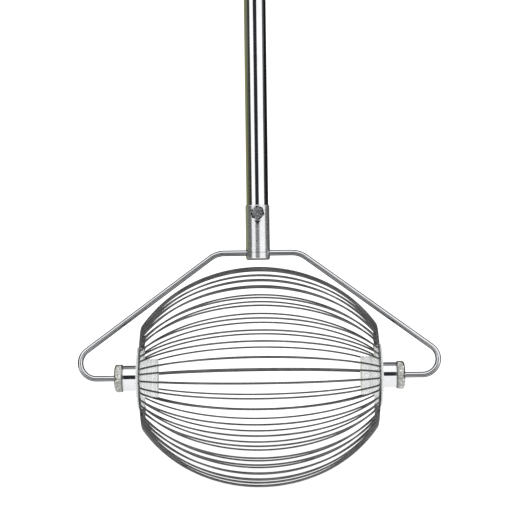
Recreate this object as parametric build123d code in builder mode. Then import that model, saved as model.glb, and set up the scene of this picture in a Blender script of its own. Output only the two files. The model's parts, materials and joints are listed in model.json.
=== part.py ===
"""A rolling golf ball retriever: a wire cage that turns on a bent wire yoke at the foot of a pole.

Millimetres, +Z up.  The origin is on the ground, straight below the middle of the axle.
X runs along the axle, the cross bolt's head is on the -Y side, and the pole rises along +Z.
"""
import os
from math import atan, cos, radians, sin, tan

from build123d import *

# Wire cage
WIRE_COUNT = 52
WIRE_GROUPS = ("top", "front", "bottom", "back")
WIRE_R = 0.85
CAGE_R = 102.35         # axle to the wires' centreline, at the widest place
SHOULDER_X = 60.0       # the wires curve a little more tightly beyond here
SHOULDER_R = 89.2
BEND_X = 109.8          # where each wire turns in towards the hub
BEND_R = 48.0
BEND_FILLET = 5.0
SPOKE_X = 112.8         # the wire's end, held in the hub
SPOKE_R = 21.0
WIRE_SCATTER = 0.8      # degrees that a wire stands off its even place

# Hubs, all as distances from the middle plane or from the axle
AXLE_Z = CAGE_R + WIRE_R
CLAMP_GAP = 0.05        # between a wire and the plates that hold it
PLATE_R = 29.0
PLATE_THICKNESS = 1.6
FLANGE_R = 28.5
FLANGE_THICKNESS = 2.4
BOSS_R = 19.6
PLUG_R = 18.0
PLUG_X = 95.4
PLUG_GROOVE_DEPTH = 0.6
PLUG_GROOVES = (98.6, 101.6, 104.6)
PLUG_GROOVE_WIDTH = 1.2
CAVITY_R = 12.5
CAVITY_X = 104.0
COLLAR_R = 12.0
COLLAR_EDGE = 0.4
COLLAR_END_X = 128.4
HUB_NUT_ACROSS_FLATS = 25.4
HUB_NUT_END_X = 136.4
HUB_NUT_CROWN_R = 7.9   # flat left in the middle of the nut's rounded outer face
HUB_NUT_CROWN = 4.8
HUB_BOLT_R = 7.0
HUB_BOLT_HEAD_R = 11.6
HUB_BOLT_HEAD = 3.0
HUB_BOLT_EDGE = 0.6
HUB_BOLT_SHORT = 0.5    # how far the bolt stops inside the nut
HUB_BOLT_BORE_R = 4.6
HUB_BOLT_CLEARANCE = 0.05
BUSH_FLANGE_R = 6.8
BUSH_FLANGE = 1.2
THRUST_WASHER_R = 6.2
THRUST_WASHER = 0.8
CAP_THICKNESS = 1.0

# Yoke rod, which is also the axle
ROD_R = 2.7
RUNNING_CLEARANCE = 0.05
YOKE_TOP = 116.2        # above the axle
YOKE_TOP_HALF = 38.9
YOKE_SLOPE = 36.1       # degrees down from level
YOKE_TOP_BEND = 22.0
YOKE_CORNER = 14.6
ROD_END_X = 96.9
CLIP_X = 97.6
CLIP_THICKNESS = 0.8
CLIP_GROOVE_R = 2.2
CLIP_R = 5.0
ROD_CUT = 1.0           # how far a cutting tool reaches past the rod

# Ferrule and cross bolt, heights above the axle
FERRULE_R = 11.25
FERRULE_BORE_R = 10.35
FERRULE_FOOT = 109.7
FERRULE_SEAM = 117.0
FERRULE_TOP = 161.2
FERRULE_RIM = 0.8       # rounding of the top rim
FOOT_DOME = 2.0         # rounding of the foot
PLUG_SPIGOT_TOP = 127.0
SPIGOT_EDGE = 0.8
BOLT_HEIGHT = 153.8
BOLT_R = 3.0
BOLT_HOLE_R = 3.15
BOLT_ACROSS_FLATS = 12.0
BOLT_HEAD = 4.0
BOLT_TURN = 43.0        # degrees that the hexagon is turned
BOLT_NUT = 5.4
BOLT_WASHER_R = 6.4
BOLT_WASHER = 1.2
BOLT_TAIL = 2.0
BOLT_TAIL_EDGE = 0.7

# Pole
POLE_R = 10.3
POLE_BORE_R = 9.3
POLE_EDGE = 0.25
POLE_FOOT = 127.6       # above the axle
SECTION_LENGTH = 300.0
SECTIONS = ("lower", "middle", "upper")
INSERT_R = 9.27
STUD_INSERT = 26.0
STUD_R = 5.0
STUD_LENGTH = 14.0
STUD_EDGE = 1.0
NUT_INSERT = 20.0
STUD_BORE_R = 5.1

# Grip and end cap
GRIP_R = 15.0
GRIP_LENGTH = 140.0
GRIP_BORE_R = 10.35
GRIP_EDGE = 3.0
CAP_RIM_R = 14.6
CAP_RIM = 5.0
CAP_EDGE = 2.0
CAP_SPIGOT = 24.0
TAB_WIDTH = 22.0
TAB_THICKNESS = 8.0
HANG_HOLE_R = 4.0
HANG_HOLE_RISE = 13.0   # above the rim

AXLE = Axis((0, 0, AXLE_Z), (1, 0, 0))
POLE_AXIS = Axis((0, 0, 0), (0, 0, 1))
AXLE_PLANE = Plane(origin=(0, 0, AXLE_Z), x_dir=(1, 0, 0), z_dir=(0, -1, 0))
SIDES = {"left": -1, "right": 1}

SPOKE_LEAN = (SPOKE_X - BEND_X) / (BEND_R - SPOKE_R)
HALF_GAP = WIRE_R / cos(atan(SPOKE_LEAN)) + CLAMP_GAP
PLATE_FLAT_X = SPOKE_X + (SPOKE_R - BOSS_R) * SPOKE_LEAN + HALF_GAP
COLLAR_X = PLATE_FLAT_X + PLATE_THICKNESS
POLE_TOP = AXLE_Z + POLE_FOOT + SECTION_LENGTH * len(SECTIONS)

os.makedirs("parts", exist_ok=True)
written = []


def save(piece, name):
    """Label a finished piece and write it to its own file."""
    piece.label = name
    export_step(piece, f"parts/{name}.step")
    written.append(name)


def spoke_x(radius):
    """Where a spoke's centreline is along the axle, at a radius from it."""
    return SPOKE_X - (radius - SPOKE_R) * SPOKE_LEAN


def turned(outline, axis, plane):
    """A solid of revolution from a closed outline of straight runs."""
    with BuildPart() as piece:
        with BuildSketch(plane):
            with BuildLine():
                Polyline(*outline, close=True)
            make_face()
        revolve(axis=axis)
    return piece.part


def hub_piece(outline, side):
    """A piece turned about the axle, from an outline of (distance along X, radius)."""
    return turned([(side * x, radius) for x, radius in outline], AXLE, AXLE_PLANE)


def pole_piece(outline):
    """A piece turned about the pole's axis, from an outline of (radius, height)."""
    return turned(outline, POLE_AXIS, Plane.XZ)


def bevelled_bar(across_flats, thickness):
    """The turned outline that bevels a plain nut's corners, as (radius, height) on both faces."""
    flat_r = across_flats / 2
    corner_r = flat_r / cos(radians(30))
    bevel = (corner_r - flat_r) * tan(radians(30))
    return [
        (0, 0),
        (flat_r, 0),
        (corner_r, bevel),
        (corner_r, thickness - bevel),
        (flat_r, thickness),
        (0, thickness),
    ]


def nut_blank(plane, across_flats, thickness, bore_r, turn=0.0, crown=None):
    """A hexagon nut, its corners turned down to a cone, or to a crown's (flat radius, height) outside."""
    outline = bevelled_bar(across_flats, thickness)
    lengthways = Plane(origin=plane.origin, x_dir=plane.x_dir, z_dir=-plane.y_dir)
    with BuildPart() as turned_bar:
        with BuildSketch(lengthways):
            with BuildLine():
                if crown is None:
                    Polyline(*outline, close=True)
                else:
                    crown_r, crown_height = crown
                    edge = (outline[2][0], thickness - crown_height)
                    rim = Polyline((crown_r, thickness), (0, thickness), *outline[:3], edge)
                    TangentArc(rim @ 0, edge, tangent=(1, 0))
            make_face()
        revolve(axis=Axis(plane.origin, plane.z_dir))
    with BuildPart() as nut:
        with BuildSketch(plane):
            RegularPolygon(across_flats / 2, 6, major_radius=False, rotation=turn)
        extrude(amount=thickness)
        add(turned_bar.part, mode=Mode.INTERSECT)
        if bore_r > 0:
            with BuildSketch(plane):
                Circle(bore_r)
            extrude(amount=thickness, mode=Mode.SUBTRACT)
    return nut.part


# ---------------------------------------------------------------- wire cage

with BuildPart() as single_wire:
    with BuildLine(Plane.XZ) as wire_path:
        Line((SPOKE_X, SPOKE_R), (BEND_X, BEND_R))
        crown = ThreePointArc((-SHOULDER_X, SHOULDER_R), (0, CAGE_R), (SHOULDER_X, SHOULDER_R))
        shoulder = TangentArc(crown @ 1, (BEND_X, BEND_R), tangent=crown % 1)
        mirror(shoulder, about=Plane.YZ)
        Line((-BEND_X, BEND_R), (-SPOKE_X, SPOKE_R))
        bends = [corner for corner in wire_path.vertices() if abs(abs(corner.X) - BEND_X) < 0.01]
        fillet(bends, radius=BEND_FILLET)
    with BuildSketch(Plane(origin=wire_path.wire() @ 0, z_dir=wire_path.wire() % 0)):
        Circle(WIRE_R)
    sweep(path=wire_path.wire())


def wire_angle(index):
    """Degrees about the axle from straight up, a little uneven except at the four quarters."""
    even = index * 360 / WIRE_COUNT
    if index % (WIRE_COUNT // 4) == 0:
        return even
    return even + WIRE_SCATTER * sin(2.4 * index)


per_group = WIRE_COUNT // len(WIRE_GROUPS)
for group, group_name in enumerate(WIRE_GROUPS):
    first = group * per_group - per_group // 2
    places = [Location((0, 0, AXLE_Z), (wire_angle(first + step), 0, 0)) for step in range(per_group)]
    with BuildPart() as wires:
        with Locations(*places):
            add(single_wire.part)
    save(wires.part, f"cage_wires_{group_name}")


# --------------------------------------------------------------------- hubs

def plug_outline():
    """The inner plastic plug: a clamping flange, a grooved barrel and a cavity for the bolt head."""
    flange_x = spoke_x(FLANGE_R) - HALF_GAP
    face_x = spoke_x(BOSS_R) - HALF_GAP
    outline = [
        (CAVITY_X, HUB_BOLT_R + HUB_BOLT_CLEARANCE),
        (CAVITY_X, CAVITY_R),
        (PLUG_X, CAVITY_R),
        (PLUG_X, PLUG_R),
    ]
    for groove_x in PLUG_GROOVES:
        outline += [
            (groove_x, PLUG_R),
            (groove_x, PLUG_R - PLUG_GROOVE_DEPTH),
            (groove_x + PLUG_GROOVE_WIDTH, PLUG_R - PLUG_GROOVE_DEPTH),
            (groove_x + PLUG_GROOVE_WIDTH, PLUG_R),
        ]
    flange_back_x = flange_x - FLANGE_THICKNESS
    outline += [
        (flange_back_x, PLUG_R),
        (flange_back_x, FLANGE_R),
        (flange_x, FLANGE_R),
        (face_x, BOSS_R),
        (PLATE_FLAT_X, BOSS_R),
        (PLATE_FLAT_X, HUB_BOLT_R + HUB_BOLT_CLEARANCE),
    ]
    return outline


def plate_outline():
    """The outer clamping plate, dished to follow the spokes."""
    rim_x = spoke_x(PLATE_R) + HALF_GAP
    bore_r = HUB_BOLT_R + HUB_BOLT_CLEARANCE
    return [
        (PLATE_FLAT_X, bore_r),
        (PLATE_FLAT_X, BOSS_R),
        (rim_x, PLATE_R),
        (rim_x + PLATE_THICKNESS, PLATE_R),
        (PLATE_FLAT_X + PLATE_THICKNESS, BOSS_R),
        (PLATE_FLAT_X + PLATE_THICKNESS, bore_r),
    ]


def collar_outline():
    """The steel sleeve between the clamping plate and the nut, with its outer edges broken."""
    edge = COLLAR_EDGE
    bore_r = HUB_BOLT_R + HUB_BOLT_CLEARANCE
    return [
        (COLLAR_X, bore_r),
        (COLLAR_X, COLLAR_R - edge),
        (COLLAR_X + edge, COLLAR_R),
        (COLLAR_END_X - edge, COLLAR_R),
        (COLLAR_END_X, COLLAR_R - edge),
        (COLLAR_END_X, bore_r),
    ]


def hub_bolt_outline():
    """The hollow bolt that draws the hub together: head in the plug's cavity, shank out to the nut."""
    end_x = HUB_NUT_END_X - HUB_BOLT_SHORT
    edge = HUB_BOLT_EDGE
    return [
        (CAVITY_X - HUB_BOLT_HEAD, HUB_BOLT_BORE_R),
        (CAVITY_X - HUB_BOLT_HEAD, HUB_BOLT_HEAD_R - edge),
        (CAVITY_X - HUB_BOLT_HEAD + edge, HUB_BOLT_HEAD_R),
        (CAVITY_X, HUB_BOLT_HEAD_R),
        (CAVITY_X, HUB_BOLT_R),
        (end_x - edge, HUB_BOLT_R),
        (end_x, HUB_BOLT_R - edge),
        (end_x, HUB_BOLT_BORE_R),
    ]


def bush_outline():
    """The flanged plastic bush that the rod turns in."""
    head_x = CAVITY_X - HUB_BOLT_HEAD
    bore_r = ROD_R + RUNNING_CLEARANCE
    return [
        (head_x - BUSH_FLANGE, bore_r),
        (head_x - BUSH_FLANGE, BUSH_FLANGE_R),
        (head_x, BUSH_FLANGE_R),
        (head_x, HUB_BOLT_BORE_R),
        (HUB_NUT_END_X, HUB_BOLT_BORE_R),
        (HUB_NUT_END_X, bore_r),
    ]


def thrust_washer_outline():
    """The washer between the rod's clip and the bush."""
    inner_x = CLIP_X + CLIP_THICKNESS + RUNNING_CLEARANCE
    bore_r = ROD_R + RUNNING_CLEARANCE
    return [
        (inner_x, bore_r),
        (inner_x, THRUST_WASHER_R),
        (inner_x + THRUST_WASHER, THRUST_WASHER_R),
        (inner_x + THRUST_WASHER, bore_r),
    ]


def cavity_cap_outline():
    """The snap-in disc that closes the plug's cavity."""
    return [
        (PLUG_X, 0),
        (PLUG_X, CAVITY_R),
        (PLUG_X + CAP_THICKNESS, CAVITY_R),
        (PLUG_X + CAP_THICKNESS, 0),
    ]


HUB_OUTLINES = {
    "hub_plug": plug_outline(),
    "clamp_plate": plate_outline(),
    "hub_collar": collar_outline(),
    "hub_bolt": hub_bolt_outline(),
    "axle_bush": bush_outline(),
    "thrust_washer": thrust_washer_outline(),
    "cavity_cap": cavity_cap_outline(),
}

for side_name, side in SIDES.items():
    for piece_name, outline in HUB_OUTLINES.items():
        save(hub_piece(outline, side), f"{piece_name}_{side_name}")

    nut_plane = Plane(
        origin=(side * COLLAR_END_X, 0, AXLE_Z), x_dir=(0, 1, 0), z_dir=(side, 0, 0)
    )
    nut_length = HUB_NUT_END_X - COLLAR_END_X
    crown = (HUB_NUT_CROWN_R, HUB_NUT_CROWN)
    hub_nut = nut_blank(nut_plane, HUB_NUT_ACROSS_FLATS, nut_length, HUB_BOLT_R, crown=crown)
    save(hub_nut, f"hub_nut_{side_name}")

    clip_plane = Plane(origin=(side * CLIP_X, 0, AXLE_Z), x_dir=(0, 1, 0), z_dir=(side, 0, 0))
    with BuildPart() as axle_clip:
        with BuildSketch(clip_plane):
            Circle(CLIP_R)
            Circle(CLIP_GROOVE_R, mode=Mode.SUBTRACT)
            with Locations((0, -CLIP_R)):
                Rectangle(2 * CLIP_GROOVE_R, 2 * CLIP_R, mode=Mode.SUBTRACT)
        extrude(amount=CLIP_THICKNESS)
    save(axle_clip.part, f"axle_clip_{side_name}")


# ----------------------------------------------------------------- yoke rod

corner_x = YOKE_TOP_HALF + YOKE_TOP / tan(radians(YOKE_SLOPE))
with BuildPart() as yoke_rod:
    with BuildLine(AXLE_PLANE) as yoke_path:
        FilletPolyline(
            (-ROD_END_X, 0),
            (-corner_x, 0),
            (-YOKE_TOP_HALF, YOKE_TOP),
            (YOKE_TOP_HALF, YOKE_TOP),
            (corner_x, 0),
            (ROD_END_X, 0),
            radius=[YOKE_CORNER, YOKE_TOP_BEND, YOKE_TOP_BEND, YOKE_CORNER],
        )
    with BuildSketch(Plane(origin=yoke_path.wire() @ 0, z_dir=yoke_path.wire() % 0)):
        Circle(ROD_R)
    sweep(path=yoke_path.wire())
    for side in SIDES.values():
        with BuildSketch(Plane(origin=(side * CLIP_X, 0, AXLE_Z), z_dir=(side, 0, 0))):
            Circle(ROD_R + ROD_CUT)
            Circle(CLIP_GROOVE_R, mode=Mode.SUBTRACT)
        extrude(amount=CLIP_THICKNESS, mode=Mode.SUBTRACT)
save(yoke_rod.part, "yoke_rod")


# ---------------------------------------------------- ferrule and cross bolt

rod_height = AXLE_Z + YOKE_TOP
bolt_height = AXLE_Z + BOLT_HEIGHT
rod_line = Plane(origin=(0, 0, rod_height), x_dir=(0, 1, 0), z_dir=(1, 0, 0))
bolt_line = Plane(origin=(0, 0, bolt_height), x_dir=(1, 0, 0), z_dir=(0, -1, 0))

with BuildPart() as ferrule:
    with BuildSketch(Plane.XY.offset(AXLE_Z + FERRULE_SEAM)):
        Circle(FERRULE_R)
    extrude(amount=FERRULE_TOP - FERRULE_SEAM)
    fillet(ferrule.edges().sort_by(Axis.Z)[-1], radius=FERRULE_RIM)
    with BuildSketch(Plane.XY.offset(AXLE_Z + FERRULE_SEAM)):
        Circle(FERRULE_BORE_R)
    extrude(amount=FERRULE_TOP - FERRULE_SEAM, mode=Mode.SUBTRACT)
    with BuildSketch(rod_line):
        Circle(ROD_R + RUNNING_CLEARANCE)
    extrude(amount=2 * FERRULE_R, both=True, mode=Mode.SUBTRACT)
    with BuildSketch(bolt_line):
        Circle(BOLT_HOLE_R)
    extrude(amount=2 * FERRULE_R, both=True, mode=Mode.SUBTRACT)
save(ferrule.part, "ferrule")

with BuildPart() as ferrule_foot:
    with BuildSketch(Plane.XY.offset(AXLE_Z + FERRULE_FOOT)):
        Circle(FERRULE_R)
    extrude(amount=FERRULE_SEAM - FERRULE_FOOT)
    fillet(ferrule_foot.edges().sort_by(Axis.Z)[0], radius=FOOT_DOME)
    with BuildSketch(Plane.XY.offset(AXLE_Z + FERRULE_SEAM)):
        Circle(POLE_R)
    extrude(amount=PLUG_SPIGOT_TOP - FERRULE_SEAM)
    chamfer(ferrule_foot.edges().sort_by(Axis.Z)[-1], length=SPIGOT_EDGE)
    with BuildSketch(rod_line):
        Circle(ROD_R + RUNNING_CLEARANCE)
    extrude(amount=2 * FERRULE_R, both=True, mode=Mode.SUBTRACT)
save(ferrule_foot.part, "ferrule_foot")

head_plane = Plane(origin=(0, -FERRULE_R, bolt_height), x_dir=(1, 0, 0), z_dir=(0, -1, 0))
shank_plane = Plane(origin=(0, -FERRULE_R, bolt_height), x_dir=(1, 0, 0), z_dir=(0, 1, 0))
nut_y = FERRULE_R + BOLT_WASHER + RUNNING_CLEARANCE
with BuildPart() as cross_bolt:
    add(nut_blank(head_plane, BOLT_ACROSS_FLATS, BOLT_HEAD, 0, BOLT_TURN))
    with BuildSketch(shank_plane):
        Circle(BOLT_R)
    extrude(amount=FERRULE_R + nut_y + BOLT_NUT + BOLT_TAIL)
    chamfer(cross_bolt.edges().sort_by(Axis.Y)[-1], length=BOLT_TAIL_EDGE)
save(cross_bolt.part, "cross_bolt")

washer_plane = Plane(
    origin=(0, FERRULE_R + RUNNING_CLEARANCE, bolt_height), x_dir=(1, 0, 0), z_dir=(0, 1, 0)
)
with BuildPart() as cross_washer:
    with BuildSketch(washer_plane):
        Circle(BOLT_WASHER_R)
        Circle(BOLT_HOLE_R, mode=Mode.SUBTRACT)
    extrude(amount=BOLT_WASHER)
save(cross_washer.part, "cross_washer")

nut_face = Plane(origin=(0, nut_y, bolt_height), x_dir=(1, 0, 0), z_dir=(0, 1, 0))
save(nut_blank(nut_face, BOLT_ACROSS_FLATS, BOLT_NUT, BOLT_R, BOLT_TURN), "cross_nut")


# --------------------------------------------------------------------- pole

def pole_section(foot_z):
    """One tube of the pole, its ends lightly broken so that each joint shows as a fine line."""
    edge = POLE_EDGE
    top_z = foot_z + SECTION_LENGTH
    return pole_piece([
        (POLE_BORE_R, foot_z),
        (POLE_R - edge, foot_z),
        (POLE_R, foot_z + edge),
        (POLE_R, top_z - edge),
        (POLE_R - edge, top_z),
        (POLE_BORE_R, top_z),
    ])


def stud_insert(joint_z):
    """The plug pressed into a tube's top, with the stud that stands out of it."""
    edge = STUD_EDGE
    return pole_piece([
        (0, joint_z - STUD_INSERT),
        (INSERT_R, joint_z - STUD_INSERT),
        (INSERT_R, joint_z),
        (STUD_R, joint_z),
        (STUD_R, joint_z + STUD_LENGTH - edge),
        (STUD_R - edge, joint_z + STUD_LENGTH),
        (0, joint_z + STUD_LENGTH),
    ])


def nut_insert(joint_z):
    """The threaded ring pressed into the foot of the next tube up."""
    return pole_piece([
        (STUD_BORE_R, joint_z),
        (INSERT_R, joint_z),
        (INSERT_R, joint_z + NUT_INSERT),
        (STUD_BORE_R, joint_z + NUT_INSERT),
    ])


pole_foot_z = AXLE_Z + POLE_FOOT
for number, section_name in enumerate(SECTIONS):
    foot_z = pole_foot_z + number * SECTION_LENGTH
    if number == 0:
        lower_tube = pole_section(foot_z)
        with BuildPart() as drilled_tube:
            add(lower_tube)
            with BuildSketch(bolt_line):
                Circle(BOLT_HOLE_R)
            extrude(amount=2 * POLE_R, both=True, mode=Mode.SUBTRACT)
        save(drilled_tube.part, f"pole_{section_name}")
    else:
        save(pole_section(foot_z), f"pole_{section_name}")
        save(stud_insert(foot_z), f"pole_stud_{SECTIONS[number - 1]}")
        save(nut_insert(foot_z), f"pole_nut_{section_name}")


# --------------------------------------------------------- grip and end cap

with BuildPart() as grip_sleeve:
    with BuildSketch(Plane.XY.offset(POLE_TOP - GRIP_LENGTH)):
        Circle(GRIP_R)
    extrude(amount=GRIP_LENGTH)
    fillet(grip_sleeve.edges().sort_by(Axis.Z)[0], radius=GRIP_EDGE)
    with BuildSketch(Plane.XY.offset(POLE_TOP - GRIP_LENGTH)):
        Circle(GRIP_BORE_R)
    extrude(amount=GRIP_LENGTH, mode=Mode.SUBTRACT)
save(grip_sleeve.part, "grip_sleeve")

hang_hole_z = POLE_TOP + CAP_RIM + HANG_HOLE_RISE
with BuildPart() as end_cap:
    with BuildSketch(Plane.XY.offset(POLE_TOP)):
        Circle(CAP_RIM_R)
    extrude(amount=CAP_RIM)
    fillet(end_cap.edges().sort_by(Axis.Z)[-1], radius=CAP_EDGE)
    with BuildSketch(Plane.XZ.offset(-TAB_THICKNESS / 2)):
        with Locations((0, POLE_TOP + CAP_RIM / 2 + HANG_HOLE_RISE / 2)):
            Rectangle(TAB_WIDTH, CAP_RIM + HANG_HOLE_RISE)
        with Locations((0, hang_hole_z)):
            Circle(TAB_WIDTH / 2)
    extrude(amount=TAB_THICKNESS)
    with BuildSketch(Plane.XY.offset(POLE_TOP - CAP_SPIGOT)):
        Circle(INSERT_R)
    extrude(amount=CAP_SPIGOT)
    with BuildSketch(Plane.XZ.offset(-TAB_THICKNESS)):
        with Locations((0, hang_hole_z)):
            Circle(HANG_HOLE_R)
    extrude(amount=2 * TAB_THICKNESS, mode=Mode.SUBTRACT)
save(end_cap.part, "end_cap")

print(f"{len(written)} parts written; grip from {POLE_TOP - GRIP_LENGTH:.1f} to {POLE_TOP:.1f}")
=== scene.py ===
"""Looks for the rolling golf ball retriever: a wire cage on a bent rod yoke under a steel pole.

Metres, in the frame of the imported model.  Places and sizes are read from the frame's nodes, so each
piece is made where its CAD node is.  X runs along the axle, -Y faces the camera, Z is up.

Most CAD nodes are kept and get a finish.  The hub nuts and collars, the cross bolt with its nut and
washer, the foam grip and the end cap are made again here with finer edges.
"""
import json
import math

import bmesh
import bpy
from mathutils import Matrix, Vector, noise


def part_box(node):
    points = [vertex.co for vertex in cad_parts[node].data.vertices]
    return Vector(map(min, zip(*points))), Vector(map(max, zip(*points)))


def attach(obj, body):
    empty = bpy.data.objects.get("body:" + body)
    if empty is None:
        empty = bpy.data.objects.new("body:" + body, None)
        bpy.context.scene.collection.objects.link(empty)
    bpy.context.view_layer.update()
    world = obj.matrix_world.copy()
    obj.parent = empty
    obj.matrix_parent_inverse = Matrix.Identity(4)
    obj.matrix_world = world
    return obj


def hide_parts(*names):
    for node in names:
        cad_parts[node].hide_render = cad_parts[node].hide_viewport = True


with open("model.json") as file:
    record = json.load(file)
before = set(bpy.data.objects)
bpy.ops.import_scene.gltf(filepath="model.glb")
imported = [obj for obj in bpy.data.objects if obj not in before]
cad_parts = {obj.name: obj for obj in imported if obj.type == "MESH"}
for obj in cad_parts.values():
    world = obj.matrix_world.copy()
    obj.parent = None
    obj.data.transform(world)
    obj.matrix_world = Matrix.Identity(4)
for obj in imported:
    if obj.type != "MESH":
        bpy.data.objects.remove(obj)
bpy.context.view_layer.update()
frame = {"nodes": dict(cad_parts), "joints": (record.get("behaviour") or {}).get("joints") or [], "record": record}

MM = 0.001
SIDES = {"left": -1, "right": 1}
AXLE = Vector(frame["joints"][0]["pos_m"])


# ------------------------------------------------------------------ camera and stage

CAMERA_DISTANCE = 1.828
CAMERA_RISE = 0.1096            # above the axle; the camera is level
CAMERA_ASIDE = 0.0018
CAMERA_ROLL = math.radians(0.76)
CAMERA_LENS = 134.7             # mm
CAMERA_SENSOR = 36.0            # mm


def make_camera():
    """A level camera straight in front of the cage, a little above the axle."""
    data = bpy.data.cameras.new("camera")
    data.lens = CAMERA_LENS
    data.sensor_width = CAMERA_SENSOR
    data.dof.use_dof = False
    camera = bpy.data.objects.new("camera", data)
    camera.location = (CAMERA_ASIDE, -CAMERA_DISTANCE, AXLE.z + CAMERA_RISE)
    camera.rotation_euler = (math.radians(90), CAMERA_ROLL, 0)
    bpy.context.scene.collection.objects.link(camera)
    bpy.context.scene.camera = camera


FLOOR_HALF = 0.6
FLOOR_DROP = 0.5 * MM           # below the cage, so that the two never touch
FLOOR_TONE = 0.25
FLOOR_GLOW = 0.88
FLOOR_ROUGHNESS = 0.9


def make_floor():
    """A plain white sheet under the cage, bright enough to show almost no shadow."""
    mesh = bpy.data.meshes.new("floor")
    half = FLOOR_HALF
    corners = [(-half, -half, 0), (half, -half, 0), (half, half, 0), (-half, half, 0)]
    mesh.from_pydata(corners, [], [(0, 1, 2, 3)])
    floor = bpy.data.objects.new("floor", mesh)
    bpy.context.scene.collection.objects.link(floor)
    floor.location.z = -FLOOR_DROP
    paint = new_material("floor_white")
    paint.shader.inputs["Base Color"].default_value = (FLOOR_TONE, FLOOR_TONE, FLOOR_TONE, 1)
    paint.shader.inputs["Roughness"].default_value = FLOOR_ROUGHNESS
    paint.shader.inputs["Emission Color"].default_value = (1, 1, 1, 1)
    paint.shader.inputs["Emission Strength"].default_value = FLOOR_GLOW
    floor.data.materials.append(paint.material)


# ------------------------------------------------------------------ node helpers

class Nodes:
    """A node tree, with short calls for the nodes that the finishes and the sky share."""

    def __init__(self, tree):
        self.tree = tree
        self.tree.nodes.clear()

    def add(self, kind, **settings):
        node = self.tree.nodes.new(kind)
        for name, value in settings.items():
            setattr(node, name, value)
        return node

    def link(self, source, target):
        self.tree.links.new(source, target)

    def split(self, vector):
        """A vector's X, Y and Z sockets."""
        node = self.add("ShaderNodeSeparateXYZ")
        self.link(vector, node.inputs["Vector"])
        return node.outputs

    def ranged(self, value, low, high, out_low, out_high, **settings):
        """Map a value's range low..high to out_low..out_high, clamped."""
        node = self.add("ShaderNodeMapRange", **settings)
        node.inputs["From Min"].default_value = low
        node.inputs["From Max"].default_value = high
        node.inputs["To Min"].default_value = out_low
        node.inputs["To Max"].default_value = out_high
        self.link(value, node.inputs["Value"])
        return node.outputs["Result"]

    def maths(self, operation, *values):
        """One sum on numbers or sockets."""
        node = self.add("ShaderNodeMath", operation=operation)
        for socket, value in zip(node.inputs, values):
            if isinstance(value, (int, float)):
                socket.default_value = value
            else:
                self.link(value, socket)
        return node.outputs["Value"]

    def distance(self, first, second):
        """The length of the diagonal of two lengths."""
        squares = (self.maths("MULTIPLY", length, length) for length in (first, second))
        return self.maths("SQRT", self.maths("ADD", *squares))

    def blend(self, amount, first, second):
        """A colour between two colours, each an RGB tuple or a socket."""
        node = self.add("ShaderNodeMix", data_type="RGBA")
        self.link(amount, node.inputs[0])
        for socket, value in ((node.inputs[6], first), (node.inputs[7], second)):
            if isinstance(value, tuple):
                socket.default_value = (*value, 1)
            else:
                self.link(value, socket)
        return node.outputs[2]


class Paint(Nodes):
    """One material's nodes, round a principled shader."""

    def __init__(self, material):
        super().__init__(material.node_tree)
        self.material = material
        self.shader = self.add("ShaderNodeBsdfPrincipled")
        output = self.add("ShaderNodeOutputMaterial")
        self.link(self.shader.outputs["BSDF"], output.inputs["Surface"])
        self.place = self.add("ShaderNodeTexCoord").outputs["Object"]

    def stretched(self, scale):
        """Object coordinates multiplied by a vector, for grain that runs one way."""
        node = self.add("ShaderNodeMapping")
        node.inputs["Scale"].default_value = scale
        self.link(self.place, node.inputs["Vector"])
        return node.outputs["Vector"]

    def noise(self, scale, detail=3.0, rough=0.5, coords=None):
        node = self.add("ShaderNodeTexNoise")
        node.inputs["Scale"].default_value = scale
        node.inputs["Detail"].default_value = detail
        node.inputs["Roughness"].default_value = rough
        self.link(coords or self.place, node.inputs["Vector"])
        return node.outputs["Fac"]

    def facing(self, axis, low, high, out_low, out_high):
        """A value from how far the surface's normal points along a world axis."""
        normal = self.split(self.add("ShaderNodeNewGeometry").outputs["Normal"])
        return self.ranged(normal[axis], low, high, out_low, out_high)

    def edge_wear(self, low, high):
        """1 on worn outer edges and 0 elsewhere, from the surface's own curvature."""
        pointiness = self.add("ShaderNodeNewGeometry").outputs["Pointiness"]
        return self.ranged(pointiness, low, high, 0.0, 1.0)

    def colour(self, value):
        self.link(value, self.shader.inputs["Base Color"])

    def roughness(self, value):
        self.link(value, self.shader.inputs["Roughness"])

    def bump(self, height, strength, distance):
        node = self.add("ShaderNodeBump")
        node.inputs["Strength"].default_value = strength
        node.inputs["Distance"].default_value = distance
        self.link(height, node.inputs["Height"])
        self.link(node.outputs["Normal"], self.shader.inputs["Normal"])


def new_material(name):
    material = bpy.data.materials.new(name)
    material.use_nodes = True
    return Paint(material)


# ------------------------------------------------------------------ studio light

STUDIO_STRENGTH = 1.3
SCREEN = (1.0, 1.0, 1.0)
GAP = (0.020, 0.021, 0.026)         # between the bright screens
GROUND_BEHIND = (0.36, 0.35, 0.33)
CEILING = (0.24, 0.24, 0.25)
DARK_RIGHT = (0.010, 0.010, 0.012)
DARK_LEFT = (0.036, 0.036, 0.028)
LAWN_LEFT = (0.20, 0.205, 0.10)     # a dull green, behind on the left


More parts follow.
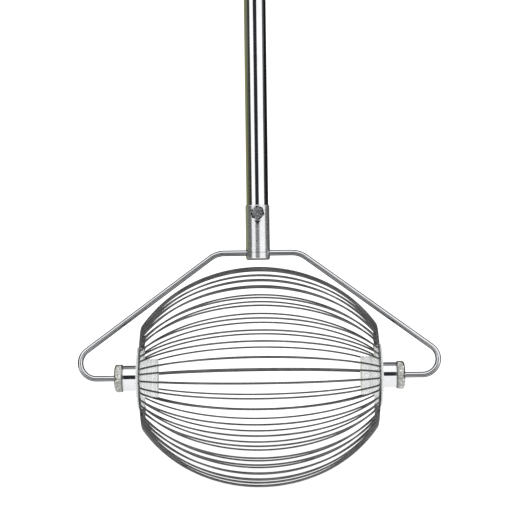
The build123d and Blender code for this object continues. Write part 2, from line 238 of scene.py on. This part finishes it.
def studio_world():
    """A soft studio as a sky: one wide bright screen in front with dark gaps in it, dark behind.

    swing is a direction's angle to the right of the middle plane, climb its angle round the axle
    from straight in front, over the top; both are in degrees.  Rays straight from the camera see
    plain white; only light and reflections see the screens.
    """
    world = bpy.data.worlds.new("studio")
    bpy.context.scene.world = world
    world.use_nodes = True
    sky = Nodes(world.node_tree)

    def step_up(value, edge, soft):
        return sky.ranged(value, edge - soft, edge + soft, 0.0, 1.0, interpolation_type="SMOOTHSTEP")

    def window(value, low, high, soft):
        return sky.maths("SUBTRACT", step_up(value, low, soft), step_up(value, high, soft))

    x, y, z = sky.split(sky.add("ShaderNodeTexCoord").outputs["Generated"])
    swing = sky.maths("DEGREES", sky.maths("ARCSINE", x))
    climb = sky.maths("DEGREES", sky.maths("ARCTAN2", z, sky.maths("MULTIPLY", y, -1.0)))

    fade_high = sky.maths("SUBTRACT", step_up(climb, -80, 14), step_up(climb, 98, 14))
    front = sky.maths("MULTIPLY", window(swing, -58, 77, 3), fade_high)
    upright = sky.maths("MULTIPLY", window(swing, -22, 17, 2.5), window(climb, -5, 31, 3))
    level = sky.maths("MULTIPLY", window(swing, -46, 46, 5), window(climb, -52, -20, 4))
    gap = sky.maths("ADD", upright, level)
    bright = sky.maths("MULTIPLY", front, sky.maths("SUBTRACT", 1.0, gap))

    rear = sky.maths("MULTIPLY", step_up(y, 0.25, 0.2), window(z, -0.3, 0.3, 0.1))
    left = sky.blend(rear, DARK_LEFT, LAWN_LEFT)
    dark = sky.blend(step_up(swing, 0, 8), left, DARK_RIGHT)
    above = sky.blend(window(climb, 90, 132, 14), dark, CEILING)
    behind = sky.blend(window(climb, -150, -78, 14), above, GROUND_BEHIND)
    surround = sky.blend(gap, behind, GAP)
    studio = sky.blend(bright, surround, SCREEN)

    straight = sky.add("ShaderNodeLightPath").outputs["Is Camera Ray"]
    background = sky.add("ShaderNodeBackground")
    background.inputs["Strength"].default_value = STUDIO_STRENGTH
    sky.link(sky.blend(straight, studio, SCREEN), background.inputs["Color"])
    output = sky.add("ShaderNodeOutputWorld")
    sky.link(background.outputs["Background"], output.inputs["Surface"])
    bpy.context.scene.view_settings.view_transform = "Standard"


# ------------------------------------------------------------------ finishes

SHADE_SHARE = 0.05                         # what is left of steel's colour where shade is painted, and in the dark seam band
UNDERSIDE_SHADE = (-0.55, -0.12)          # painted shade on faces that look down: how far down a face looks, fully shaded, not shaded
SEAM_BAND = (0.14 * MM, 0.34 * MM)         # distance from the seam: darkest, not darkened
ROD_HOLE_SHADE = (4.6 * MM, 6.4 * MM)            # painted shade round the rod's holes: distance from the middle of the rod, most, none
HEAD_SHADE = (7.3 * MM, 7.7 * MM)           # painted dark reflection of the bolt head, from the bolt's middle: none, most
HEAD_REFLECTION_WEDGE = (10.6 * MM, 12.0 * MM)          # how far the painted reflection reaches: all, none
HEAD_REFLECTION_TOP = (5.5 * MM, 6.3 * MM)              # below the bolt's middle: none, all
HEAD_REFLECTION_FRONT = (-4.0 * MM, -2.0 * MM)          # only on the front of the ferrule
HEAD_REFLECTION_SLOPE = 1.3
NUT_CORNER_SHADE = (0.3 * MM, 1.7 * MM)            # painted shade in the corner by the collar: distance from the collar, most, none
BEVEL_SHADE_TILT = (0.965, 0.99)          # painted shade on the bevels: how straight a face looks forward, a bevel, a flat


def drawn_steel(name, base, rough_low, rough_high, grain, bump=0.05, metallic=1.0,
                underside_shade=0.0, reflection_lines=0.0, shade_and_seam=None):
    """Bright steel with fine lines along the way it was drawn, smudges and some colour variation.

    grain stretches the lines: small along the draw, large across it.  The last three arguments paint
    shade: how much the faces that look down are darkened, how much painted dark reflection lines darken
    the rod's top and bottom edges and a line just below its middle, and a call that gives painted shade
    elsewhere, with any dark band along a seam.
    """
    paint = new_material(name)
    lines = paint.noise(1.0, 2.0, 0.6, paint.stretched(grain))
    smudge = paint.noise(38.0, 4.0, 0.6)
    paint.shader.inputs["Metallic"].default_value = metallic
    tone = paint.maths("MULTIPLY", lines, smudge)
    darker = tuple(channel * 0.86 for channel in base)
    clean = paint.blend(paint.ranged(tone, 0.15, 0.4, 0.0, 1.0), darker, base)
    shaded = tuple(channel * SHADE_SHARE for channel in base)
    # painted shade: faces that look down are darkened towards the shade colour
    if underside_shade > 0:
        clean = paint.blend(paint.facing("Z", *UNDERSIDE_SHADE, underside_shade, 0.0), clean, shaded)
    # painted dark reflections: the rod's edges seen from the front, and a line just below its middle, are darkened
    if reflection_lines > 0:
        forward = paint.facing("Y", -1.0, 1.0, -1.0, 1.0)
        squared = paint.maths("MULTIPLY", forward, forward)
        low_half = paint.facing("Z", -0.16, -0.05, reflection_lines, 0.0)
        middle = paint.maths("MULTIPLY", low_half, paint.ranged(squared, 0.74, 0.82, 0.0, 1.0))
        outer = paint.ranged(squared, 0.45, 0.70, reflection_lines, 0.0)
        clean = paint.blend(paint.maths("MAXIMUM", outer, middle), clean, shaded)
    # painted shade from the call, and a dark seam band where it gives one
    if shade_and_seam:
        clean = paint.blend(shade_and_seam(paint), clean, shaded)
    paint.colour(clean)
    average = paint.maths("MULTIPLY", paint.maths("ADD", lines, smudge), 0.5)
    paint.roughness(paint.ranged(average, 0.35, 0.65, rough_low, rough_high))
    paint.bump(lines, bump, 0.02 * MM)
    return paint.material


def ferrule_shade_and_seam(paint):
    """A dark band along the seam above the foot, painted shade round the rod's holes, and a painted dark
    reflection of the bolt head below it.
    """
    seam_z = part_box("ferrule")[0][2]
    rod_low, rod_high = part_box("yoke_rod")
    rod_z = rod_high[2] - (rod_high[1] - rod_low[1]) / 2
    x, y, z = paint.split(paint.place)
    from_seam = paint.maths("ABSOLUTE", paint.maths("SUBTRACT", z, seam_z))
    rise = paint.maths("SUBTRACT", z, rod_z)
    in_seam = paint.ranged(from_seam, *SEAM_BAND, 0.75, 0.0)
    # painted shade round the holes where the rod enters
    rod_hole_shade = paint.ranged(paint.distance(rise, y), *ROD_HOLE_SHADE, 0.9, 0.0)
    # painted dark reflection of the bolt head: a funnel below the head on the front of the ferrule
    bolt_low, bolt_high = size_of("cross_bolt")
    drop = paint.maths("SUBTRACT", (bolt_low.z + bolt_high.z) / 2, z)
    aside = paint.maths("ABSOLUTE", x)
    under = paint.ranged(paint.distance(x, drop), *HEAD_SHADE, 0.0, 0.9)
    wedge = paint.maths("ADD", drop, paint.maths("MULTIPLY", aside, HEAD_REFLECTION_SLOPE))
    head_reflection = paint.maths("MULTIPLY", under, paint.ranged(wedge, *HEAD_REFLECTION_WEDGE, 1.0, 0.0))
    head_reflection = paint.maths("MULTIPLY", head_reflection, paint.ranged(drop, *HEAD_REFLECTION_TOP, 0.0, 1.0))
    head_reflection = paint.maths("MULTIPLY", head_reflection, paint.ranged(y, *HEAD_REFLECTION_FRONT, 1.0, 0.0))
    return paint.maths("MAXIMUM", head_reflection, paint.maths("MAXIMUM", in_seam, rod_hole_shade))


def nut_corner_shade(paint):
    """Painted shade in the corner where each hub nut meets its collar."""
    inner_x = size_of("hub_nut_right")[0].x
    x, _y, _z = paint.split(paint.place)
    from_collar = paint.maths("SUBTRACT", paint.maths("ABSOLUTE", x), inner_x)
    return paint.ranged(from_collar, *NUT_CORNER_SHADE, 0.85, 0.0)


def spring_wire():
    """Dark drawn spring wire: grey, slightly oxidised, brighter where it has rubbed."""
    paint = new_material("cage_wire")
    patches = paint.noise(60.0, 5.0, 0.65)
    fine = paint.noise(900.0, 2.0, 0.5)
    paint.shader.inputs["Metallic"].default_value = 1.0
    oxide = paint.ranged(patches, 0.35, 0.65, 0.0, 1.0)
    paint.colour(paint.blend(oxide, (0.080, 0.080, 0.082), (0.17, 0.17, 0.172)))
    paint.roughness(paint.ranged(fine, 0.3, 0.7, 0.28, 0.42))
    paint.bump(fine, 0.15, 0.02 * MM)
    return paint.material


def plated_fastener(name, base, rough_low, rough_high, bevel_shade=0.0, shade_and_seam=None):
    """Plated steel with tool wear, pitted faces and small bright rubs, with painted shade on its bevels.

    The last two arguments paint shade: how dark the bevels are made, on a piece whose faces look along Y,
    and a call that gives painted shade elsewhere.
    """
    paint = new_material(name)
    mottle = paint.noise(420.0, 4.0, 0.65)
    broad = paint.noise(160.0, 3.0, 0.6)
    rubs = paint.noise(640.0, 2.0, 0.5)
    paint.shader.inputs["Metallic"].default_value = 1.0
    pitted = tuple(c * 0.55 for c in base)
    face = paint.blend(paint.ranged(mottle, 0.36, 0.62, 0.0, 1.0), pitted, base)
    bright = tuple(min(1.0, c * 1.6 + 0.2) for c in base)
    face = paint.blend(paint.ranged(rubs, 0.60, 0.66, 0.0, 0.9), face, bright)
    face = paint.blend(paint.edge_wear(0.53, 0.60), face, bright)
    # painted shade: bevels that turn away from the front are darkened, broken up by noise
    if bevel_shade > 0:
        tilt = paint.maths("MULTIPLY", paint.facing("Y", -1.0, 1.0, -1.0, 1.0), -1.0)
        dark_bevels = paint.ranged(tilt, *BEVEL_SHADE_TILT, bevel_shade, 0.0)
        dark_bevels = paint.maths("MULTIPLY", dark_bevels, paint.ranged(broad, 0.52, 0.60, 1.0, 0.35))
        face = paint.blend(dark_bevels, face, (0.02, 0.02, 0.022))
    # painted shade from the call, darkening towards near-black
    if shade_and_seam:
        face = paint.blend(shade_and_seam(paint), face, (0.05, 0.05, 0.052))
    paint.colour(face)
    paint.roughness(paint.ranged(broad, 0.35, 0.65, rough_low, rough_high))
    paint.bump(mottle, 0.3, 0.05 * MM)
    return paint.material


def milky_plastic():
    """Milky moulding, with faint flow marks round it, the bands of its mould, and a faint painted glow."""
    paint = new_material("hub_plastic")
    flow = paint.noise(1.0, 3.0, 0.5, paint.stretched((420.0, 60.0, 60.0)))
    bands = paint.noise(1.0, 1.0, 0.4, paint.stretched((900.0, 4.0, 4.0)))
    fine = paint.noise(700.0, 2.0, 0.5)
    marked = paint.ranged(flow, 0.3, 0.7, 0.0, 1.0)
    body = paint.blend(marked, (0.78, 0.80, 0.79), (0.92, 0.93, 0.92))
    banded = paint.ranged(bands, 0.42, 0.62, 0.0, 0.55)
    paint.colour(paint.blend(banded, body, (0.56, 0.58, 0.57)))
    paint.roughness(paint.ranged(fine, 0.3, 0.7, 0.25, 0.38))
    paint.shader.inputs["IOR"].default_value = 1.49
    # painted light: a faint glow lifts the plastic as if lit through
    paint.shader.inputs["Emission Color"].default_value = (0.95, 1.0, 0.98, 1)
    paint.shader.inputs["Emission Strength"].default_value = 0.12
    paint.bump(fine, 0.08, 0.03 * MM)
    return paint.material


def plain_plastic(name, light, dark, rough_low, rough_high, scale=900.0, depth=0.05 * MM):
    """Moulded plastic with a fine spark-eroded texture."""
    paint = new_material(name)
    fine = paint.noise(scale, 3.0, 0.6)
    broad = paint.noise(90.0, 3.0, 0.5)
    paint.colour(paint.blend(broad, dark, light))
    paint.roughness(paint.ranged(fine, 0.3, 0.7, rough_low, rough_high))
    paint.bump(fine, 0.35, depth)
    return paint.material


def cell_foam():
    """Closed-cell foam: matt black with small pores."""
    paint = new_material("grip_foam")
    cells = paint.add("ShaderNodeTexVoronoi")
    cells.inputs["Scale"].default_value = 900.0
    paint.link(paint.place, cells.inputs["Vector"])
    dust = paint.noise(240.0, 4.0, 0.7)
    dusty = paint.ranged(dust, 0.4, 0.75, 0.0, 1.0)
    paint.colour(paint.blend(dusty, (0.012, 0.012, 0.013), (0.045, 0.045, 0.047)))
    paint.roughness(paint.ranged(cells.outputs["Distance"], 0.0, 0.7, 0.95, 0.72))
    paint.bump(cells.outputs["Distance"], 0.6, 0.25 * MM)
    return paint.material


# ------------------------------------------------------------------ mesh helpers

CREASE = 32                         # degrees; an edge that turns more than this stays sharp
ROUND_CREASE = 50
FACET_CREASE = 12


def eased(outline, radius, steps=4):
    """A closed outline with its corners rounded by at most radius; corners on the axis stay."""
    rounded = []
    for index, corner in enumerate(outline):
        here = Vector(corner)
        if abs(here.x) < 1e-9:
            rounded.append(here)
            continue
        back = Vector(outline[index - 1]) - here
        ahead = Vector(outline[(index + 1) % len(outline)]) - here
        reach = min(radius, 0.45 * back.length, 0.45 * ahead.length)
        start = here + back.normalized() * reach
        end = here + ahead.normalized() * reach
        for step in range(steps + 1):
            t = step / steps
            rounded.append(start * (1 - t) ** 2 + here * 2 * t * (1 - t) + end * t ** 2)
    return rounded


def turn(mesh, place, outline, segments, limit=None):
    """Add a solid turned round place's Z axis, from a closed outline of (radius, height).

    limit(radius, angle, height) can cut the radius back, for flats and threads.
    """
    rings = []
    for radius, height in outline:
        ring = []
        for step in range(segments):
            angle = 2 * math.pi * step / segments
            reach = limit(radius, angle, height) if limit else radius
            point = Vector((reach * math.cos(angle), reach * math.sin(angle), height))
            ring.append(mesh.verts.new(place @ point))
        rings.append(ring)
    on_axis = outline[0][0] < 1e-9 and outline[-1][0] < 1e-9
    pairs = list(zip(rings, rings[1:]))
    if not on_axis:
        pairs.append((rings[-1], rings[0]))
    for first, second in pairs:
        for step in range(segments):
            after = (step + 1) % segments
            mesh.faces.new((first[step], first[after], second[after], second[step]))


def six_flats(across_flats, first_flat, rounding=0.985):
    """A limit for turn() that gives a hexagon, its corners slightly rounded."""
    corner = across_flats / 2 / math.cos(math.radians(30)) * rounding

    def limit(radius, angle, _height):
        off = (math.degrees(angle) - first_flat + 30) % 60 - 30
        return min(radius, corner, across_flats / 2 / math.cos(math.radians(off)))
    return limit


def finished(mesh, name, slot, body, nodes, crease=CREASE):
    """Turn a bmesh into a piece on its body, in place of its CAD nodes."""
    bmesh.ops.remove_doubles(mesh, verts=mesh.verts, dist=1e-6)
    bmesh.ops.recalc_face_normals(mesh, faces=mesh.faces)
    for face in mesh.faces:
        face.smooth = True
    for edge in mesh.edges:
        edge.smooth = edge.calc_face_angle(0.0) < math.radians(crease)
    data = bpy.data.meshes.new(name)
    mesh.to_mesh(data)
    mesh.free()
    piece = bpy.data.objects.new(name, data)
    bpy.context.scene.collection.objects.link(piece)
    data.materials.append(FINISHES[slot])
    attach(piece, body)
    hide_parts(*nodes)
    return piece


def columns(x_axis, z_axis, origin):
    """A placing matrix from two axes and an origin."""
    x_axis = Vector(x_axis)
    z_axis = Vector(z_axis)
    turned = Matrix((x_axis, z_axis.cross(x_axis), z_axis)).transposed().to_4x4()
    return Matrix.Translation(origin) @ turned


def size_of(name):
    low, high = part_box(name)
    return Vector(low), Vector(high)


# ------------------------------------------------------------------ finishes by slot

FINISHES = {
    "polished_steel": drawn_steel(
        "polished_steel", (0.84, 0.85, 0.86), 0.05, 0.11, (2600.0, 2600.0, 5.0)),
    "ferrule_steel": drawn_steel(
        "ferrule_steel", (0.78, 0.79, 0.80), 0.16, 0.26, (160.0, 160.0, 1400.0),
        metallic=0.86, underside_shade=1.0, shade_and_seam=ferrule_shade_and_seam),
    "yoke_steel": drawn_steel(
        "yoke_steel", (0.76, 0.77, 0.79), 0.03, 0.08, (9.0, 500.0, 500.0),
        bump=0.01, underside_shade=0.35, reflection_lines=0.96),
    "nut_steel": plated_fastener("nut_steel", (0.47, 0.47, 0.45), 0.10, 0.34, shade_and_seam=nut_corner_shade),
    "fastener_steel": plated_fastener("fastener_steel", (0.34, 0.35, 0.355), 0.25, 0.4, bevel_shade=1.0),
    "joint_steel": drawn_steel(
        "joint_steel", (0.55, 0.55, 0.56), 0.25, 0.4, (300.0, 300.0, 2600.0)),
    "cage_wire": spring_wire(),
    "hub_plastic": milky_plastic(),
    "bush_nylon": plain_plastic("bush_nylon", (0.86, 0.85, 0.80), (0.78, 0.77, 0.71), 0.4, 0.55),
    "grip_foam": cell_foam(),
    "cap_plastic": plain_plastic(
        "cap_plastic", (0.035, 0.035, 0.037), (0.018, 0.018, 0.019), 0.38, 0.5),
}


def finish_cad_nodes():
    """Give every carried-over CAD node the procedural finish of its own slot."""
    slots = {row["node"]: row["material_slot"] for row in frame["record"]["subparts"]}
    for name, node in frame["nodes"].items():
        node.data.materials.clear()
        node.data.materials.append(FINISHES[slots[name]])


# ------------------------------------------------------------------ hubs

HUB_BORE_R = 7.0 * MM
NUT_FACE_R = 7.9 * MM
NUT_CROWN = 4.8 * MM
NUT_CROWN_STEPS = 10
NUT_INNER_LEAD = 0.5 * MM       # bevels of the bore
NUT_OUTER_LEAD = 0.6 * MM
NUT_SEGMENTS = 360
COLLAR_SEGMENTS = 160
COLLAR_BORE_R = 7.05 * MM
COLLAR_GROOVE = 0.35 * MM       # step down next to the nut
COLLAR_STEP = 0.77 * MM         # length of that step
COLLAR_EDGE = 0.3 * MM


def make_hub(side_name, side):
    """The crowned nut and the collar on one side."""
    low, high = size_of(f"hub_nut_{side_name}")
    flats = high.z - low.z
    corner = flats / 2 / math.cos(math.radians(30))
    inner_x, outer_x = (low.x, high.x) if side > 0 else (high.x, low.x)
    length = abs(outer_x - inner_x)
    place = columns((0, 1, 0), (side, 0, 0), (inner_x, AXLE.y, AXLE.z))
    bevel = (corner - flats / 2) * math.tan(math.radians(30))
    outline = [(HUB_BORE_R + NUT_INNER_LEAD, 0), (flats / 2, 0), (corner, bevel)]
    for step in range(NUT_CROWN_STEPS + 1):
        turned_by = math.pi / 2 * step / NUT_CROWN_STEPS
        reach = NUT_FACE_R + (corner - NUT_FACE_R) * math.cos(turned_by)
        outline.append((reach, length - NUT_CROWN + NUT_CROWN * math.sin(turned_by)))
    outline.append((HUB_BORE_R + NUT_OUTER_LEAD, length))
    outline.append((HUB_BORE_R, length - NUT_OUTER_LEAD))
    outline.append((HUB_BORE_R, NUT_INNER_LEAD))
    nut = bmesh.new()
    turn(nut, place, outline, NUT_SEGMENTS, six_flats(flats, 30))
    finished(nut, f"hub_nut_detail_{side_name}", "nut_steel", "cage", [f"hub_nut_{side_name}"])

    low, high = size_of(f"hub_collar_{side_name}")
    inner_x = low.x if side > 0 else high.x
    length = high.x - low.x
    radius = (high.z - low.z) / 2
    place = columns((0, 1, 0), (side, 0, 0), (inner_x, AXLE.y, AXLE.z))
    outline = [
        (COLLAR_BORE_R, 0),
        (radius, 0),
        (radius, length - COLLAR_STEP),
        (radius - COLLAR_GROOVE, length - COLLAR_STEP),
        (radius - COLLAR_GROOVE, length),
        (COLLAR_BORE_R, length),
    ]
    collar = bmesh.new()
    turn(collar, place, eased(outline, COLLAR_EDGE), COLLAR_SEGMENTS)
    node_name = f"hub_collar_{side_name}"
    finished(collar, f"hub_collar_detail_{side_name}", "polished_steel", "cage", [node_name])


# ------------------------------------------------------------------ cross bolt

BOLT_R = 3.0 * MM
BOLT_HEAD = 4.0 * MM
BOLT_FLATS = 12.0 * MM
BOLT_TURN = 43.0                # degrees from +X to a corner of the head
BOLT_FACE = 0.84                # width of the flat face against the flats
BOLT_TAIL_EDGE = 0.7 * MM
NUT_BORE_LEAD = 0.5 * MM
WASHER_CLEARANCE = 0.15 * MM
WASHER_EDGE = 0.25 * MM
THREAD_PITCH = 1.0 * MM
THREAD_DEPTH = 0.35 * MM
THREAD_LENGTH = 11.0 * MM
THREAD_ROWS = 88
HEXAGON_SEGMENTS = 240
SHANK_SEGMENTS = 64
WASHER_SEGMENTS = 96


def hexagon_outline(flats, thickness, bore_r):
    """A bevelled hexagon's turned outline, as (radius, height), with an optional bore."""
    corner = flats / 2 / math.cos(math.radians(30))
    bevel = (corner - flats / 2) * math.tan(math.radians(30))
    rim = BOLT_FACE * flats / 2
    sides = [(rim, 0), (corner, bevel), (corner, thickness - bevel), (rim, thickness)]
    if bore_r == 0:
        return [(0, 0), *sides, (0, thickness)]
    lead = NUT_BORE_LEAD
    bore = [(bore_r + lead, thickness), (bore_r, thickness - lead), (bore_r, lead)]
    return [(bore_r + lead, 0), *sides, *bore]


def threaded(radius, angle, height):
    """A limit for turn() that cuts a screw thread into the last part of the shank."""
    if height < 0:
        return radius
    phase = (height / THREAD_PITCH - angle / (2 * math.pi)) % 1
    return min(radius, BOLT_R - THREAD_DEPTH * abs(2 * phase - 1))


def make_cross_bolt():
    """The bolt through the ferrule, with its head in front and its nut and washer behind."""
    low, high = size_of("cross_bolt")
    middle = (low + high) / 2
    bolt = bmesh.new()
    head_place = columns((1, 0, 0), (0, -1, 0), (middle.x, low.y + BOLT_HEAD, middle.z))
    hexagon = six_flats(BOLT_FLATS, BOLT_TURN + 30)
    outline = hexagon_outline(BOLT_FLATS, BOLT_HEAD, 0)
    turn(bolt, head_place, outline, HEXAGON_SEGMENTS, hexagon)
    finished(bolt, "cross_bolt_head", "fastener_steel", "handle", ["cross_bolt"], FACET_CREASE)

    shank = bmesh.new()
    start_y = high.y - THREAD_LENGTH
    place = columns((1, 0, 0), (0, 1, 0), (middle.x, start_y, middle.z))
    back = low.y + BOLT_HEAD - start_y
    outline = [(0, back), (BOLT_R, back), (BOLT_R, 0)]
    tail_r = BOLT_R - BOLT_TAIL_EDGE
    for row in range(1, THREAD_ROWS):
        height = THREAD_LENGTH * row / THREAD_ROWS
        outline.append((min(BOLT_R, tail_r + THREAD_LENGTH - height), height))
    outline += [(tail_r, THREAD_LENGTH), (0, THREAD_LENGTH)]
    turn(shank, place, outline, SHANK_SEGMENTS, threaded)
    finished(shank, "cross_bolt_shank", "fastener_steel", "handle", ["cross_bolt"], ROUND_CREASE)

    low, high = size_of("cross_nut")
    nut = bmesh.new()
    place = columns((1, 0, 0), (0, 1, 0), (middle.x, low.y, middle.z))
    outline = hexagon_outline(BOLT_FLATS, high.y - low.y, BOLT_R)
    turn(nut, place, outline, HEXAGON_SEGMENTS, hexagon)
    finished(nut, "cross_nut_detail", "fastener_steel", "handle", ["cross_nut"], FACET_CREASE)

    low, high = size_of("cross_washer")
    radius = (high.x - low.x) / 2
    thickness = high.y - low.y
    bore_r = BOLT_R + WASHER_CLEARANCE
    washer = bmesh.new()
    place = columns((1, 0, 0), (0, 1, 0), (middle.x, low.y, middle.z))
    outline = [(bore_r, 0), (radius, 0), (radius, thickness), (bore_r, thickness)]
    turn(washer, place, eased(outline, WASHER_EDGE), WASHER_SEGMENTS)
    finished(washer, "cross_washer_detail", "fastener_steel", "handle", ["cross_washer"])


# ------------------------------------------------------------------ grip and end cap

GRIP_BORE_R = 10.4 * MM
GRIP_EDGE = 3.0 * MM            # the most that the foot's corners are rounded
FOOT_R = 11.3 * MM              # the rounded foot lies outside this radius, below this height
FOOT_RISE = 4.0 * MM
BODY_RISE = 3.2 * MM            # where the plain rows take over from the foot
FOAM_SKIN = 4.0 * MM            # how deep the unevenness goes
GRIP_ROWS = 70
GRIP_SEGMENTS = 96
WAIST_RISE = 9.0 * MM           # a shallow groove near each end of the grip
WAIST_DEPTH = 0.5 * MM
WAIST_WIDTH = 1.6 * MM
FOAM_BUMP = 0.12 * MM           # unevenness of the foam
FOAM_BUMPS = 2.2                # bumps to a radius
CAP_RIM_R = 14.6 * MM
CAP_RIM = 5.0 * MM
CAP_EDGE = 1.8 * MM
CAP_SPIGOT_R = 9.27 * MM
TAB_R = 11.0 * MM
TAB_EDGE = 1.4 * MM
TAB_THICKNESS = 8.0 * MM
TAB_COLUMNS = 120
CAP_SEGMENTS = 128
HOLE_R = 4.0 * MM
HOLE_RISE = 13.0 * MM


def make_grip():
    """The foam sleeve, a little uneven as foam is, with a shallow groove near each end and its foot rounded."""
    low, high = size_of("grip_sleeve")
    radius = (high.x - low.x) / 2
    length = high.z - low.z
    place = Matrix.Translation((0, 0, low.z))
    outline = [(GRIP_BORE_R, 0), (radius, 0)]
    for row in range(1, GRIP_ROWS):
        height = length * row / GRIP_ROWS
        end = min(height, length - height)
        waist = WAIST_DEPTH * math.exp(-((end - WAIST_RISE) / WAIST_WIDTH) ** 2)
        outline.append((radius - waist, height))
    outline += [(radius, length), (GRIP_BORE_R, length)]
    corners = [outline[-1], outline[0], outline[1], outline[2]]
    rounded = eased(corners, GRIP_EDGE, 6)
    foot = [point for point in rounded if point.y < FOOT_RISE and point.x > FOOT_R]
    body = [point for point in outline[2:-1] if point[1] > BODY_RISE]

    def uneven(reach, angle, height):
        if reach < radius - FOAM_SKIN:
            return reach
        spot = Vector((math.cos(angle), math.sin(angle), height / radius)) * FOAM_BUMPS
        return reach - FOAM_BUMP * (1 + noise.noise(spot))
    grip = bmesh.new()
    turn(grip, place, [outline[0], *foot, *body, outline[-1]], GRIP_SEGMENTS, uneven)
    finished(grip, "grip_foam_sleeve", "grip_foam", "handle", ["grip_sleeve"], ROUND_CREASE)


def make_end_cap():
    """The plastic end cap: a rim, a spigot into the pole and a hanging tab with rounded edges."""
    low, high = size_of("end_cap")
    rim_z = high.z - TAB_R - HOLE_RISE - CAP_RIM
    cap = bmesh.new()
    outline = [
        (0, low.z),
        (CAP_SPIGOT_R, low.z),
        (CAP_SPIGOT_R, rim_z),
        (CAP_RIM_R, rim_z),
        (CAP_RIM_R, rim_z + CAP_RIM),
        (0, rim_z + CAP_RIM),
    ]
    turn(cap, Matrix.Identity(4), eased(outline, CAP_EDGE, 6), CAP_SEGMENTS)

    hole_z = rim_z + CAP_RIM + HOLE_RISE
    depth = HOLE_RISE + CAP_RIM / 2
    half = TAB_THICKNESS / 2
    rings = []
    for step in range(TAB_COLUMNS):
        angle = 2 * math.pi * step / TAB_COLUMNS
        ray = Vector((math.cos(angle), 0, math.sin(angle)))
        reach = TAB_R
        if ray.z < 0:
            reach = min(TAB_R / max(abs(ray.x), 1e-6), depth / -ray.z)
        corners = [(HOLE_R, -half), (reach, -half), (reach, half), (HOLE_R, half)]
        section = eased(corners, TAB_EDGE, 5)
        ring = []
        for point in section:
            spot = Vector((0, point.y, hole_z)) + ray * point.x
            ring.append(cap.verts.new(spot))
        rings.append(ring)
    for index, ring in enumerate(rings):
        after = rings[(index + 1) % TAB_COLUMNS]
        for here in range(len(ring)):
            beyond = (here + 1) % len(ring)
            cap.faces.new((ring[here], after[here], after[beyond], ring[beyond]))
    finished(cap, "end_cap_detail", "cap_plastic", "handle", ["end_cap"])


make_camera()
make_floor()
studio_world()
finish_cad_nodes()
for side_name, side in SIDES.items():
    make_hub(side_name, side)
make_cross_bolt()
make_grip()
make_end_cap()
